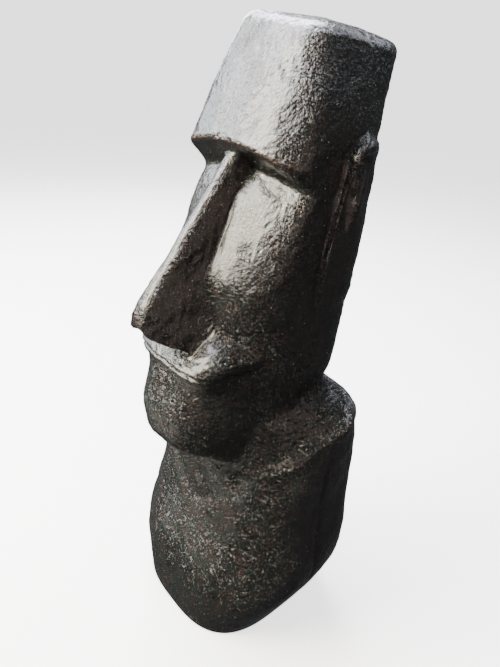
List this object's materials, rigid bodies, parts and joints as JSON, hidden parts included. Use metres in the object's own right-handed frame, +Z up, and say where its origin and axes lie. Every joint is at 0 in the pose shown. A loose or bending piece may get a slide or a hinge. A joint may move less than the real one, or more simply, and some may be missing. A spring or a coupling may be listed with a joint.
{
  "type": "garden statue",
  "caption": "Moai garden statue, a long stylised head on a blunt armless torso, cast in one piece with a dark patina; stands on its flat underside.",
  "frame": {"origin": "middle of the torso on the flat underside, at floor level", "axes": "+Z up, -Y the way the face looks, +X the statue's own left"},
  "size_m": [0.57, 0.5784, 1.5],
  "materials": {
    "patinated_cast_stone": "near-black satin patina over finely pitted cast stone"
  },
  "bodies": {
    "root": {"moai_statue": "patinated_cast_stone"}
  },
  "joints": []
}
